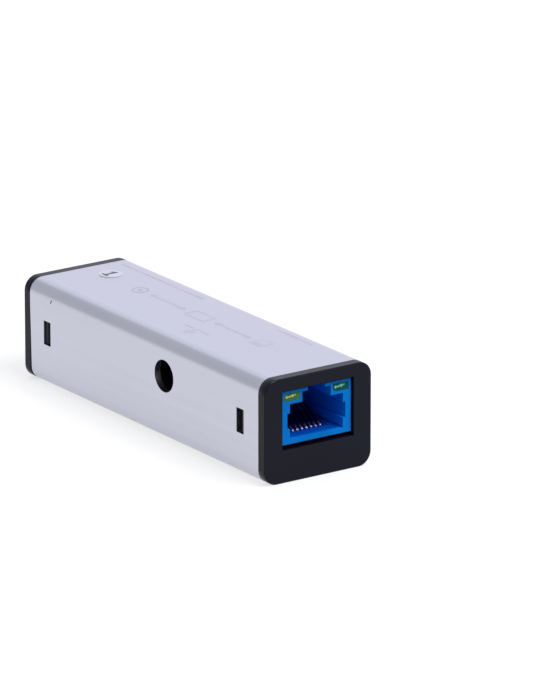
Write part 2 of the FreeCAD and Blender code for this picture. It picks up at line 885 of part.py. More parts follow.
def lead_outline(sketch, body_edge, height):
    """Gull-wing lead seen end on, from the chip's side wall out and down to the board."""
    top = s.lead_standoff + height / 2
    shoulder = body_edge + s.lead_foot * 0.6
    toe = body_edge + s.lead_reach
    metal = s.lead_thickness
    outline(sketch, [
        (body_edge, top), (shoulder - metal, top), (shoulder - metal, 0), (toe, 0), (toe, metal),
        (shoulder, metal), (shoulder, top + metal), (body_edge, top + metal),
    ])


def lead_rows(label, half_chip, height, count, pitch, width, all_round=False):
    """Leads down two opposite sides of a chip, or down all four."""
    body = new_body(label)
    profile = new_sketch(body, "profile", "XZ_Plane", pitch * (count - 1) / 2)
    lead_outline(profile, half_chip, height)
    lead = pad(body, profile, width, both_ways=True)
    row_of(body, lead, "Y_Axis", count, pitch)
    mirrored(body, "YZ_Plane")
    if not all_round:
        return body
    ring = body.newObject("PartDesign::PolarPattern", f"{label}_ring")
    ring.TransformMode = "Whole shape"
    ring.Axis = (origin_part(body, "Z_Axis"), [""])
    ring.Angle = 90
    ring.Occurrences = 2
    body.Tip = ring
    return body


def chip_body(label, width, length, height):
    """Moulded package, bevelled along its top edges and lifted off the board."""
    body = new_body(label)
    plan = new_sketch(body, "plan", "XY_Plane", s.lead_standoff)
    centred_rectangle(plan, as_size(0), as_size(0), width, length)
    slab = pad(body, plan, height)
    top = (s.lead_standoff + height).value
    bevelled_edges(body, slab, s.lead_thickness, lambda box: box.ZMin > top - 1e-4)
    return body


def signal_transformer():
    """Coupling transformer between the jack and the converter chip, with its leads."""
    length = s.signal_transformer_length
    station = -(light_lead_station - s.signal_transformer_gap - length / 2)
    package = chip_body("signal_transformer", s.signal_transformer_width, length, s.signal_transformer_height)
    leads = lead_rows("signal_transformer_leads", length / 2, s.signal_transformer_height,
                      s.signal_lead_count, s.signal_lead_pitch, s.lead_width)
    place(package, 0, station, s.board_top)
    place(leads, 0, station, s.board_top, turn=((0, 0, 1), 90))
    return [package, leads]


def poe_controller():
    """Eight-lead chip that looks after the power taken from the copper cable."""
    package = chip_body("poe_controller", s.controller_width, s.controller_length, s.controller_height)
    leads = lead_rows("poe_controller_leads", s.controller_width / 2, s.controller_height,
                      s.controller_lead_count, s.controller_lead_pitch, s.lead_width)
    station = coil_station - s.controller_shift
    return [place(piece, controller_x, station, s.board_top) for piece in (package, leads)]


def converter_chip():
    """Square chip under the board, with leads on all four sides."""
    side = s.converter_side
    package = chip_body("converter_chip", side, side, s.converter_height)
    leads = lead_rows("converter_chip_leads", side / 2, s.converter_height,
                      s.converter_lead_count, s.converter_lead_pitch, s.fine_lead_width, all_round=True)
    return [place(piece, 0, converter_station, board_bottom, UPSIDE_DOWN) for piece in (package, leads)]


def crystal():
    x = -(clear_half_width - s.crystal_edge_gap - s.crystal_width / 2)
    can = block("crystal", x, crystal_station, s.board_top,
                s.crystal_width, s.crystal_length, s.crystal_height)
    return labelled(can, "crystal")


def rectifiers():
    """Two bridge rectifiers under the jack's end of the board, and their leads."""
    station = -(light_lead_station - s.signal_transformer_gap - s.signal_transformer_length / 2)
    middle = clear_half_width - s.rectifier_edge_gap - s.lead_reach - s.rectifier_width / 2
    packages = []
    leads = []
    for side in (-1, 1):
        name = "left" if side < 0 else "right"
        package = chip_body(f"rectifier_{name}", s.rectifier_width, s.rectifier_length, s.rectifier_height)
        wires = lead_rows(f"rectifier_leads_{name}", s.rectifier_width / 2, s.rectifier_height,
                          as_size(2), s.rectifier_lead_pitch, s.lead_width)
        for piece in (package, wires):
            place(piece, side * middle, station, board_bottom, UPSIDE_DOWN)
        packages.append(package)
        leads.append(wires)
    return [group("bridge_rectifiers", packages), group("bridge_rectifier_leads", leads)]


def chip_row(label, count, x, y, z):
    """Row of small two-ended parts along the board, as separate solids."""
    members = []
    for number in range(count):
        spot = y + s.chip_spacing * number
        members.append(block(f"{label}_{number + 1}", x, spot, z, s.chip_length, s.chip_width, s.chip_height))
    return group(label, members)


def small_parts():
    upper_x = -(clear_half_width - s.chip_length / 2)
    upper_station = crystal_station + s.crystal_length / 2 + s.chip_row_gap + s.chip_width / 2
    lower_x = s.converter_side / 2 + s.lead_reach + s.chip_length
    return [
        chip_row("chip_resistors", 5, upper_x, upper_station, s.board_top),
        chip_row("chip_capacitors", 6, lower_x, converter_station - s.converter_side / 2,
                 board_bottom - s.chip_height),
    ]


# ---------------------------------------------------------------- power jack

def power_terminals():
    """Middle and size, across and along the board, of each terminal's foot."""
    return [
        (power_rear + s.power_tail_length + s.power_terminal_thickness / 2, -s.power_station,
         s.power_terminal_thickness, s.power_terminal_width),
        (-power_mouth + s.power_bore_depth + s.power_spring_thickness / 2, -s.power_station,
         s.power_spring_thickness, s.power_spring_width),
    ]


def power_jack_body():
    """Moulded block with the plug's bore and a slot below it for the spring."""
    length = power_rear + power_mouth
    collar_length = power_mouth - clear_half_width
    collar = cylinder("power_jack_collar", s.power_collar_diameter, collar_length,
                      -power_mouth, -s.power_station, power_axis, TOWARD_X)
    shell = block("power_jack_block", (power_rear - clear_half_width) / 2, -s.power_station, s.board_top,
                  length - collar_length, s.power_body_width, power_top - s.board_top)
    outside = joined("power_jack_outside", [collar, shell])
    bore = cylinder("power_jack_bore", power_bore, s.power_bore_depth,
                    -power_mouth, -s.power_station, power_axis, TOWARD_X)
    tail = cylinder("power_jack_tail_hole", s.power_tail_diameter, length - s.power_bore_depth,
                    -power_mouth + s.power_bore_depth, -s.power_station, power_axis, TOWARD_X)
    slot_height = power_axis - s.board_top
    slot_length = s.power_bore_depth - s.power_spring_slot + s.power_spring_thickness
    slot = block("power_jack_slot", -power_mouth + s.power_spring_slot + slot_length / 2, -s.power_station,
                 s.board_top, slot_length, s.power_spring_width, slot_height)
    hollow = joined("power_jack_hollow", [bore, tail, slot])
    cut = doc.addObject("Part::Cut", "power_jack_body")
    cut.Base = outside
    cut.Tool = hollow
    return labelled(cut, "power_jack_body")


def power_jack_pin():
    """Centre pin with a tapered nose and a thinner tail held in the back of the jack."""
    body = new_body("power_jack_pin")
    half = s.power_pin_diameter / 2
    tip = -power_mouth + s.power_pin_recess
    back = -power_mouth + s.power_bore_depth
    end = power_rear + s.power_tail_length
    profile = new_sketch(body, "profile", "XY_Plane")
    outline(profile, [
        (tip, 0), (end, 0), (end, s.power_tail_diameter / 2), (back, s.power_tail_diameter / 2),
        (back, half), (tip + half, half), (tip, half / 2),
    ])
    turned = body.newObject("PartDesign::Revolution", "power_jack_pin_turned")
    turned.Profile = profile
    turned.ReferenceAxis = (origin_part(body, "X_Axis"), [""])
    turned.Angle = 360
    return place(body, 0, -s.power_station, power_axis)


def power_jack_terminal():
    """Tab on the pin's tail, down through the board."""
    x, y, thickness, width = power_terminals()[0]
    height = power_axis + s.power_tail_diameter - pin_bottom
    tab = block("power_jack_terminal", x, y, pin_bottom, thickness, width, height)
    return labelled(tab, "power_jack_terminal")


def power_jack_spring():
    """Bowed strip that presses on the plug's barrel, with its own foot."""
    body = new_body("power_jack_spring")
    metal = s.power_spring_thickness
    start = -power_mouth + s.power_spring_slot
    end = -power_mouth + s.power_bore_depth
    low = power_axis - power_bore / 2 - metal
    side = new_sketch(body, "side", "XZ_Plane")
    crown = (start + end) / 2
    outline(side, [
        (start, low), (crown, low + s.power_spring_bow), (end, low), (end, pin_bottom),
        (end + metal, pin_bottom), (end + metal, low + metal), (end, low + metal),
        (crown, low + metal + s.power_spring_bow), (start, low + metal),
    ])
    pad(body, side, s.power_spring_width - s.snug_fit, both_ways=True)
    return place(body, 0, -s.power_station, 0)


# ---------------------------------------------------------------- power supply

def coil_pins():
    """Places of the pins under both ends of the bobbin."""
    spots = []
    for end in (-1, 1):
        y = coil_station + end * coil_pin_reach
        for number in range(SIZES["coil_pin_count"]):
            spots.append((coil_x + s.coil_pin_pitch * (number - (s.coil_pin_count - 1) / 2), y))
    return spots


def coil_core():
    """Closed ferrite frame with a centre leg."""
    body = new_body("power_transformer_core")
    plan = new_sketch(body, "plan", "XY_Plane", coil_axis)
    width = coil_width / 2
    length = s.coil_core_length / 2
    rectangle(plan, coil_x - width, coil_x + width, coil_station - length, coil_station + length)
    pad(body, plan, s.coil_core_height, both_ways=True)
    windows = new_sketch(body, "windows", "XY_Plane", coil_axis)
    for side in (-1, 1):
        gap = width - coil_side_leg - coil_centre_leg / 2
        x = coil_x + side * (coil_centre_leg / 2 + gap / 2)
        centred_rectangle(windows, x, coil_station, gap, coil_window)
    pocket(body, windows, s.coil_core_height, both_ways=True)
    return body


def coil_bobbin():
    """Moulded spool round the centre leg, with a pin rail under each end."""
    body = new_body("power_transformer_bobbin")
    tube_half_width = coil_centre_leg / 2 + s.bobbin_fit + s.bobbin_wall
    tube_half_height = s.coil_core_height / 2 + s.bobbin_fit + s.bobbin_wall
    length = coil_window
    tube = new_sketch(body, "tube", "XZ_Plane", -coil_station)
    rectangle(tube, coil_x - tube_half_width, coil_x + tube_half_width,
              coil_axis - tube_half_height, coil_axis + tube_half_height)
    pad(body, tube, length, both_ways=True)
    for end in (-1, 1):
        place_y = -coil_station + end * (length / 2 - s.bobbin_flange / 2)
        flange = new_sketch(body, f"flange_{end + 1}", "XZ_Plane", place_y)
        centred_rectangle(flange, coil_x, coil_axis, bobbin_width, s.bobbin_flange_height)
        pad(body, flange, s.bobbin_flange, both_ways=True)
        rail = new_sketch(body, f"rail_{end + 1}", "XZ_Plane", end * s.coil_core_length / 2 - coil_station)
        rail_top = coil_axis - s.coil_core_height / 2
        rectangle(rail, coil_x - coil_width / 2, coil_x + coil_width / 2, s.board_top, rail_top)
        pad(body, rail, 2 * s.coil_core_yoke, both_ways=True)
    bore = new_sketch(body, "bore", "XZ_Plane", -coil_station)
    rectangle(bore, coil_x - tube_half_width + s.bobbin_wall, coil_x + tube_half_width - s.bobbin_wall,
              coil_axis - tube_half_height + s.bobbin_wall, coil_axis + tube_half_height - s.bobbin_wall)
    pocket(body, bore, length, both_ways=True)
    return body


def coil_winding():
    """Wound and taped copper, as one rounded sleeve on the bobbin."""
    body = new_body("power_transformer_winding")
    length = coil_window - 2 * s.bobbin_flange
    tube_half_width = coil_centre_leg / 2 + s.bobbin_fit + s.bobbin_wall
    tube_half_height = s.coil_core_height / 2 + s.bobbin_fit + s.bobbin_wall
    half_width_out = bobbin_width / 2 - s.winding_gap
    half_height_out = s.bobbin_flange_height / 2 - s.winding_gap
    ring = new_sketch(body, "ring", "XZ_Plane", -coil_station)
    rounded_rectangle(ring, coil_x - half_width_out, coil_x + half_width_out,
                      coil_axis - half_height_out, coil_axis + half_height_out, s.winding_corner)
    pad(body, ring, length, both_ways=True)
    bore = new_sketch(body, "bore", "XZ_Plane", -coil_station)
    rectangle(bore, coil_x - tube_half_width, coil_x + tube_half_width,
              coil_axis - tube_half_height, coil_axis + tube_half_height)
    pocket(body, bore, length, both_ways=True)
    return body


def coil_pin_group():
    pins = []
    for number, (x, y) in enumerate(coil_pins()):
        pins.append(block(f"coil_pin_{number + 1}", x, y, pin_bottom, s.coil_pin_size, s.coil_pin_size,
                          s.board_top - pin_bottom))
    return group("power_transformer_pins", pins)


def power_inductor():
    """Square shielded choke with cut corners."""
    body = new_body("power_inductor")
    near = s.inductor_side / 2
    cut = s.inductor_side / 2 - s.inductor_chamfer
    plan = new_sketch(body, "plan", "XY_Plane")
    outline(plan, [
        (-cut, -near), (cut, -near), (near, -cut), (near, cut),
        (cut, near), (-cut, near), (-near, cut), (-near, -cut),
    ])
    pad(body, plan, s.inductor_height)
    return place(body, inductor_x, -s.power_station, s.board_top)


def smoothing_capacitors():
    """Two round capacitors on square bases beside the optical assembly."""
    diameter = clear_half_width - s.capacitor_edge_gap - s.capacitor_optical_gap - s.optical_diameter / 2
    x = clear_half_width - s.capacitor_edge_gap - diameter / 2
    cans = []
    bases = []
    for number in range(2):
        station = s.capacitor_station + (diameter + s.capacitor_gap) * number
        can_base = s.board_top + s.capacitor_base_height
        cans.append(cylinder(f"capacitor_can_{number + 1}", diameter,
                             s.capacitor_height - s.capacitor_base_height, x, station, can_base))
        base = new_body(f"capacitor_base_{number + 1}")
        near = diameter / 2
        cut = near - s.capacitor_chamfer
        plan = new_sketch(base, "plan", "XY_Plane")
        outline(plan, [(-near, -near), (near, -near), (near, cut), (cut, near), (-cut, near), (-near, cut)])
        pad(base, plan, s.capacitor_base_height)
        bases.append(place(base, x, station, s.board_top))
    return [group("capacitor_cans", cans), group("capacitor_bases", bases)]


# ---------------------------------------------------------------- fibre port

def fibre_port_housing():
    """Moulded receptacle: keyed mouth, hollow for the latch insert and two posts."""
    body = new_body("fibre_port_housing")
    half = s.port_width / 2
    shell = new_sketch(body, "shell", "XZ_Plane", -port_rear)
    rectangle(shell, -half, half, port_bottom, port_top)
    pad(body, shell, s.port_length, backwards=True)

    posts = new_sketch(body, "posts", "XY_Plane", port_bottom)
    feet = new_sketch(body, "feet", "XY_Plane", port_bottom)
    for side in (-1, 1):
        circle(posts, side * s.post_spacing / 2, port_front - s.post_setback, s.post_diameter)
        centred_rectangle(feet, side * (half - s.foot_width / 2), port_front - s.post_setback,
                          s.foot_width, s.foot_length)
    pad(body, feet, s.port_lift, backwards=True)
    pad(body, posts, port_bottom - pin_bottom, backwards=True)

    mouth = new_sketch(body, "mouth", "XZ_Plane", -port_front)
    mouth_half = half - s.mouth_side_wall
    mouth_top = port_top - s.mouth_wall
    rectangle(mouth, -mouth_half, mouth_half, port_bottom + s.mouth_wall, mouth_top)
    pocket(body, mouth, s.port_length, backwards=True)
    key = new_sketch(body, "key_slot", "XZ_Plane", -port_front)
    rectangle(key, -s.key_width / 2, s.key_width / 2, mouth_top, mouth_top + s.key_height)
    pocket(body, key, s.key_depth, backwards=True)
    hollow = new_sketch(body, "hollow", "XZ_Plane", -port_rear)
    rectangle(hollow, -hollow_half_width, hollow_half_width, port_axis - hollow_rise, port_axis + hollow_rise)
    pocket(body, hollow, s.port_length - s.mouth_lip)
    return body


def fibre_latch_insert():
    """Base plate with two hooked arms that grip the plug, pushed in from behind."""
    body = new_body("fibre_latch_insert")
    base = new_sketch(body, "base", "XZ_Plane", -port_rear)
    rectangle(base, -hollow_half_width, hollow_half_width, port_axis - hollow_rise, port_axis + hollow_rise)
    pad(body, base, s.latch_base, backwards=True)
    arms = new_sketch(body, "arms", "XY_Plane", port_axis)
    root = port_rear + s.latch_base / 2
    tip = port_rear + s.hook_arm_length
    outside = hollow_half_width - s.hook_arm_gap
    inside = outside - s.hook_arm_thickness
    outline(arms, [
        (inside, root), (outside, root), (outside, tip), (inside, tip),
        (inside - s.hook_nose, tip - s.hook_nose_length / 2),
        (inside - s.hook_nose, tip - s.hook_nose_length),
        (inside, tip - s.hook_nose_length),
    ])
    pad(body, arms, s.hook_arm_width, both_ways=True)
    mirrored(body, "YZ_Plane")
    hole = new_sketch(body, "barrel_hole", "XZ_Plane", -port_rear)
    circle(hole, 0, port_axis, s.barrel_diameter + s.snug_fit)
    pocket(body, hole, s.latch_base)
    return body


# ---------------------------------------------------------------- optical assembly

barrel_front = port_front - s.barrel_setback
flange_back = port_rear - s.flange_thickness
optical_back = flange_back - s.optical_length
laser_face = optical_back - s.can_flange_thickness
receiver_station = flange_back - s.can_flange_diameter / 2
receiver_face = s.can_seat + s.can_length + s.can_flange_thickness


def optical_barrel():
    """Metal tube that carries the sleeve and stub, with a flange behind the port."""
    body = new_body("optical_barrel")
    flange = new_sketch(body, "flange", "XZ_Plane", -flange_back)
    circle(flange, 0, port_axis, s.flange_diameter)
    pad(body, flange, s.flange_thickness, backwards=True)
    tube = new_sketch(body, "tube", "XZ_Plane", -flange_back)
    circle(tube, 0, port_axis, s.barrel_diameter)
    pad(body, tube, barrel_front - flange_back, backwards=True)
    bore = new_sketch(body, "bore", "XZ_Plane", -barrel_front)
    circle(bore, 0, port_axis, s.sleeve_diameter + s.barrel_fit)
    pocket(body, bore, s.sleeve_length, backwards=True)
    stub = new_sketch(body, "stub_bore", "XZ_Plane", -flange_back)
    circle(stub, 0, port_axis, s.sleeve_bore)
    pocket(body, stub, barrel_front - flange_back)
    return body


def ferrule_sleeve():
    """Ceramic sleeve that lines a plug's ferrule up with the stub."""
    body = new_body("ferrule_sleeve")
    ring = new_sketch(body, "ring", "XZ_Plane", -barrel_front)
    circle(ring, 0, port_axis, s.sleeve_diameter)
    pad(body, ring, s.sleeve_length)
    bore = new_sketch(body, "bore", "XZ_Plane", -barrel_front)
    circle(bore, 0, port_axis, s.sleeve_bore)
    pocket(body, bore, s.sleeve_length, backwards=True)
    return body


def fibre_stub():
    """Short ceramic ferrule fixed in the back of the sleeve."""
    start = barrel_front - s.sleeve_length + s.stub_length
    stub = cylinder("fibre_stub", s.sleeve_bore, start - flange_back, 0, flange_back, port_axis, ALONG_Y)
    return labelled(stub, "fibre_stub")


def optical_block():
    """Metal block behind the flange, bored for the laser behind and the receiver at the side."""
    block_rod = cylinder("optical_rod", s.optical_diameter, s.optical_length,
                         0, optical_back, port_axis, ALONG_Y)
    seat = s.can_diameter + s.snug_fit
    laser_seat = cylinder("laser_seat", seat, s.can_length, 0, optical_back, port_axis, ALONG_Y)
    side_seat = cylinder("receiver_seat", seat, s.optical_diameter / 2 - s.can_seat,
                         -s.can_seat, receiver_station, port_axis, AGAINST_X)
    light_path = cylinder("light_path", s.light_bore, s.optical_length, 0, optical_back, port_axis, ALONG_Y)
    seats = joined("optical_seats", [laser_seat, side_seat, light_path])
    cut = doc.addObject("Part::Cut", "optical_block")
    cut.Base = block_rod
    cut.Tool = seats
    return labelled(cut, "optical_block")


def laser_can():
    flange = cylinder("laser_flange", s.can_flange_diameter, s.can_flange_thickness,
                      0, laser_face, port_axis, ALONG_Y)
    can = cylinder("laser_cap", s.can_diameter, s.can_flange_thickness / 2 + s.can_length,
                   0, optical_back - s.can_flange_thickness / 2, port_axis, ALONG_Y)
    return joined("laser_can", [flange, can])


def receiver_can():
    flange = cylinder("receiver_flange", s.can_flange_diameter, s.can_flange_thickness,
                      s.can_flange_thickness - receiver_face, receiver_station, port_axis, AGAINST_X)
    can = cylinder("receiver_cap", s.can_diameter, s.can_flange_thickness / 2 + s.can_length,
                   -s.can_seat, receiver_station, port_axis, AGAINST_X)
    return joined("receiver_can", [flange, can])


def optical_leads():
    """Three wires from the laser and three from the receiver, bent down to the board."""
    body = new_body("optical_leads")
    step = s.wire_spread / 2
    laser = new_sketch(body, "laser", "YZ_Plane", -step)
    bent_wire(laser, laser_face, laser_face - s.wire_reach, port_axis, s.board_top, s.wire_diameter)
    row_of(body, pad(body, laser, s.wire_diameter, both_ways=True), "X_Axis", 3, step)
    receiver = new_sketch(body, "receiver", "XZ_Plane", step - receiver_station)
    bent_wire(receiver, -receiver_face, -receiver_face - s.wire_reach,
              port_axis, s.board_top, s.wire_diameter)
    row_of(body, pad(body, receiver, s.wire_diameter, both_ways=True), "Y_Axis", 3, step)
    return body


# ---------------------------------------------------------------- label

def number_label():
    """Small round sticker on top, near the fibre end."""
    disc = cylinder("number_label", s.label_diameter, s.label_thickness,
                    s.label_offset, s.label_station, s.overall_height)
    return labelled(disc, "number_label")


# ---------------------------------------------------------------- assembly

def build():
    """Make every piece and give back the ones that are written out."""
    pieces = [
        housing_tube(), front_cap(), rear_cap(), circuit_board(),
        rj45_housing(), rj45_contact_carrier(), rj45_contacts(),
        jack_light("light_yellow", -1), jack_light("light_green", 1), light_leads(),
        crystal(), power_jack_body(), power_jack_pin(), power_jack_terminal(), power_jack_spring(),
        coil_core(), coil_bobbin(), coil_winding(), coil_pin_group(), power_inductor(),
        fibre_port_housing(), fibre_latch_insert(), optical_barrel(), ferrule_sleeve(), fibre_stub(),
        optical_block(), laser_can(), receiver_can(), optical_leads(), number_label(),
    ]
    for several in (signal_transformer(), poe_controller(), converter_chip(), rectifiers(),
                    small_parts(), smoothing_capacitors()):
        pieces.extend(several)
    return pieces


def check(pieces):
    """Stop before anything is written if the document or a piece is not sound."""
    for thing in doc.Objects:
        if "Invalid" in thing.State or "Error" in thing.State:
            raise RuntimeError(f"{thing.Label} did not compute: {thing.State}")
    for piece in pieces:
        if piece.Shape.isNull() or not piece.Shape.isValid():
            raise RuntimeError(f"{piece.Label} has no sound shape")


pieces = build()
doc.recompute()
check(pieces)
os.makedirs("parts", exist_ok=True)
for piece in pieces:
    piece.Shape.exportStep(f"parts/{piece.Label}.step")
print(f"wrote {len(pieces)} pieces")
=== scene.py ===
"""Looks of the fibre media converter: satin aluminium tube, black end caps, blue copper socket."""
import math

import bmesh
import bpy
from mathutils import Matrix, Vector


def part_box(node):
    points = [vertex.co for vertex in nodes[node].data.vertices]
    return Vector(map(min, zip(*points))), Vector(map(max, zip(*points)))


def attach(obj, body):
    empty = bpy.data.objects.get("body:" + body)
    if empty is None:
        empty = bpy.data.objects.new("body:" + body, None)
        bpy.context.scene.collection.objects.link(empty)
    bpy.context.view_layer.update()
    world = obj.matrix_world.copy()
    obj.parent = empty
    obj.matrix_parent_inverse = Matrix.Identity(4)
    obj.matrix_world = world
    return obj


MM = 0.001
SOCKET_FLOOR = 8.0 * MM     # height of the floor inside the copper socket
CONTACT_SETBACK = 4.15 * MM     # from the copper socket's face back to its contacts

CAP_ROUNDING = 0.12         # widths of the softened edges, in millimetres
SOCKET_ROUNDING = 0.06
CONTACT_ROUNDING = 0.12

CAMERA_LENS = 393.0
CAMERA_AIM = 10 * MM        # height of the point that the camera's place is counted from
CAMERA_AWAY = 1.420
CAMERA_ASIDE = 0.0140
CAMERA_RAISE = 0.00348

KEY_PLACE = (0.16, -0.52, 0.84)
KEY_SIZE = 0.5
KEY_POWER = 6.4
WHITE_WALL = (1.03, 1.035, 1.12)
UPPER_WALL = (0.66, 0.66, 0.68)
CEILING = (0.6, 0.6, 0.6)
GREY_WALL = (0.66, 0.67, 0.69)
FRONT_DIM = 0.12            # share of the walls' light that comes from the front
FLOOR_RADIUS = 3.0
FLOOR_DROP = 0.02 * MM      # keeps the floor clear of the underside
FLOOR_GREY = 0.34
FLOOR_GLOW = 0.67           # seen by the camera and in reflections only

PRINT_SINK, PRINT_THICKNESS = 0.004, 0.016      # millimetres below the surface, and overall
FIGURE_SINK, FIGURE_THICKNESS = 0.014, 0.02
LEAD_FRAME_THICKNESS = 0.03

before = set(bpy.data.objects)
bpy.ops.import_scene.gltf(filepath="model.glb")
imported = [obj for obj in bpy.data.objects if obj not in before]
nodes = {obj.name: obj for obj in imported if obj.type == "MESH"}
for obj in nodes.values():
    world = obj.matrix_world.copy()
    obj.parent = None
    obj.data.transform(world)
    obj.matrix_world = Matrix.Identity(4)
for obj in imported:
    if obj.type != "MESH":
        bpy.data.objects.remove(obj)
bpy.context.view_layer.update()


# ---------------------------------------------------------------- material helpers

def srgb(red, green, blue):
    """Linear colour from the eight-bit values that a screen shows."""
    def linear(value):
        value = value / 255
        return value / 12.92 if value <= 0.04045 else ((value + 0.055) / 1.055) ** 2.4
    return (linear(red), linear(green), linear(blue), 1.0)


class Surface:
    """A material and its node tree, with short calls for the nodes used here."""

    def __init__(self, name, color, roughness, metallic=0.0, **settings):
        self.material = bpy.data.materials.new(name)
        self.material.use_nodes = True
        self.tree = self.material.node_tree
        self.shader = self.tree.nodes["Principled BSDF"]
        self.shader.inputs["Base Color"].default_value = color
        self.shader.inputs["Roughness"].default_value = roughness
        self.shader.inputs["Metallic"].default_value = metallic
        for socket, value in settings.items():
            self.shader.inputs[socket.replace("_", " ")].default_value = value
        self.place = self.node("ShaderNodeTexCoord").outputs["Object"]

    def node(self, kind, **values):
        made = self.tree.nodes.new(kind)
        for name, value in values.items():
            setattr(made, name, value)
        return made

    def link(self, source, target):
        self.tree.links.new(source, target)

    def stretched(self, scale):
        """Object coordinates, stretched by different amounts along X, Y and Z."""
        mapping = self.node("ShaderNodeMapping")
        mapping.inputs["Scale"].default_value = scale
        self.link(self.place, mapping.inputs["Vector"])
        return mapping.outputs["Vector"]

    def noise(self, scale, detail=4.0, stretch=(1, 1, 1)):
        texture = self.node("ShaderNodeTexNoise")
        texture.inputs["Scale"].default_value = scale
        texture.inputs["Detail"].default_value = detail
        texture.inputs["Roughness"].default_value = 0.55
        self.link(self.stretched(stretch), texture.inputs["Vector"])
        return texture.outputs["Fac"]

    def ramp(self, factor, low, high, start=0.0, end=1.0):
        """Map a factor between two greys or colours."""
        ramp = self.node("ShaderNodeValToRGB")
        first, last = ramp.color_ramp.elements
        first.position, first.color = start, low
        last.position, last.color = end, high
        self.link(factor, ramp.inputs["Fac"])
        return ramp.outputs["Color"]

    def range(self, factor, low, high, start=0.3, end=0.7):
        mapper = self.node("ShaderNodeMapRange")
        mapper.inputs["From Min"].default_value = start
        mapper.inputs["From Max"].default_value = end
        mapper.inputs["To Min"].default_value = low
        mapper.inputs["To Max"].default_value = high
        self.link(factor, mapper.inputs["Value"])
        return mapper.outputs["Result"]

    def along(self, axis):
        """Object coordinate along one axis."""
        split = self.node("ShaderNodeSeparateXYZ")
        self.link(self.place, split.inputs["Vector"])
        return split.outputs[axis]

    def color_from(self, source):
        self.link(source, self.shader.inputs["Base Color"])

    def paint_over(self, factor, color):
        """Lay another colour over the present one by a factor, and return the mix node."""
        mix = self.node("ShaderNodeMix", data_type="RGBA")
        mix.inputs["B"].default_value = color
        self.link(factor, mix.inputs["Factor"])
        self.link(self.shader.inputs["Base Color"].links[0].from_socket, mix.inputs["A"])
        self.color_from(mix.outputs["Result"])
        return mix

    def rough_from(self, factor, low, high):
        self.link(self.range(factor, low, high), self.shader.inputs["Roughness"])

    def bump(self, height, strength, distance):
        bump = self.node("ShaderNodeBump")
        bump.inputs["Strength"].default_value = strength
        bump.inputs["Distance"].default_value = distance
        self.link(height, bump.inputs["Height"])
        previous = self.shader.inputs["Normal"].links
        if previous:
            self.link(previous[0].from_socket, bump.inputs["Normal"])
        self.link(bump.outputs["Normal"], self.shader.inputs["Normal"])


def tinted(color, factor):
    return tuple(min(1.0, channel * factor) for channel in color[:3]) + (1.0,)


# ---------------------------------------------------------------- materials

def extruded_aluminium():
    """Fine blasted and anodised skin: satin, slightly lavender, faint drawing lines along Y."""
    base = (0.557, 0.562, 0.652, 1)
    skin = Surface("anodised_aluminium", base, 0.3, metallic=1.0)
    lines = skin.noise(900, detail=3, stretch=(1, 0.012, 1))
    clouds = skin.noise(60, detail=3, stretch=(1, 0.35, 1))
    mixed = skin.node("ShaderNodeMix", data_type="FLOAT")
    mixed.inputs["Factor"].default_value = 0.45
    skin.link(lines, mixed.inputs[2])
    skin.link(clouds, mixed.inputs[3])
    paler = skin.ramp(mixed.outputs[0], tinted(base, 0.965), tinted(base, 1.03), 0.35, 0.65)
    skin.color_from(paler)
    skin.rough_from(mixed.outputs[0], 0.27, 0.33)
    grain = skin.noise(9000, detail=2)
    skin.bump(grain, 0.10, 0.00002)
    return skin


def add_nick(skin, centre, size, tilt):
    """Small dark spot in the side wall, as an ellipsoid of the material's own space."""
    mapping = skin.node("ShaderNodeMapping", vector_type="TEXTURE")
    mapping.inputs["Location"].default_value = centre
    mapping.inputs["Rotation"].default_value = (tilt, 0, 0)
    mapping.inputs["Scale"].default_value = size
    skin.link(skin.place, mapping.inputs["Vector"])
    length = skin.node("ShaderNodeVectorMath", operation="LENGTH")
    skin.link(mapping.outputs["Vector"], length.inputs[0])
    inside = skin.range(length.outputs["Value"], 1.0, 0.0, 0.75, 1.1)
    skin.paint_over(inside, (0.03, 0.03, 0.035, 1))


def moulded_plastic(name, color, roughness, grain=2600, depth=0.12, **settings):
    """Moulded plastic with a fine spark-eroded grain and slight flow marks."""
    skin = Surface(name, color, roughness, **settings)
    flow = skin.noise(140, detail=3)
    skin.color_from(skin.ramp(flow, tinted(color, 0.88), tinted(color, 1.12), 0.3, 0.7))
    skin.rough_from(flow, roughness - 0.03, roughness + 0.04)
    skin.bump(skin.noise(grain, detail=2), depth, 0.00004)
    return skin


def paint_shade_along(skin, axis, start, end, color):
    """Paint shade into a material: change its colour to another one between two places along an
    axis.
    """
    return skin.paint_over(skin.range(skin.along(axis), 0.0, 1.0, start, end), color)


def paint_socket_shade(skin):
    """Painted shade inside the opening: a little behind the face the blue turns darker, most on
    its floor, which faces the light, and less higher up.
    """
    # Both blues are painted shade, darker than the face's own blue.
    floor_shade_blue, inner_shade_blue = srgb(1, 70, 172), srgb(1, 108, 226)
    mix = paint_shade_along(skin, "Y", socket_face + 0.15 * MM, socket_face + 1.2 * MM, inner_shade_blue)
    low, high = SOCKET_FLOOR + 0.1 * MM, SOCKET_FLOOR + 0.4 * MM
    rise = skin.range(skin.along("Z"), 0.0, 1.0, low, high)
    skin.link(skin.ramp(rise, floor_shade_blue, inner_shade_blue), mix.inputs["B"])


def drawn_metal(name, color, roughness, stretch=(1, 1, 0.04)):
    """Plated or drawn metal with fine streaks in one direction."""
    skin = Surface(name, color, roughness, metallic=1.0)
    streaks = skin.noise(1500, detail=3, stretch=stretch)
    skin.color_from(skin.ramp(streaks, tinted(color, 0.9), tinted(color, 1.06), 0.3, 0.7))
    skin.rough_from(streaks, roughness - 0.05, roughness + 0.06)
    return skin


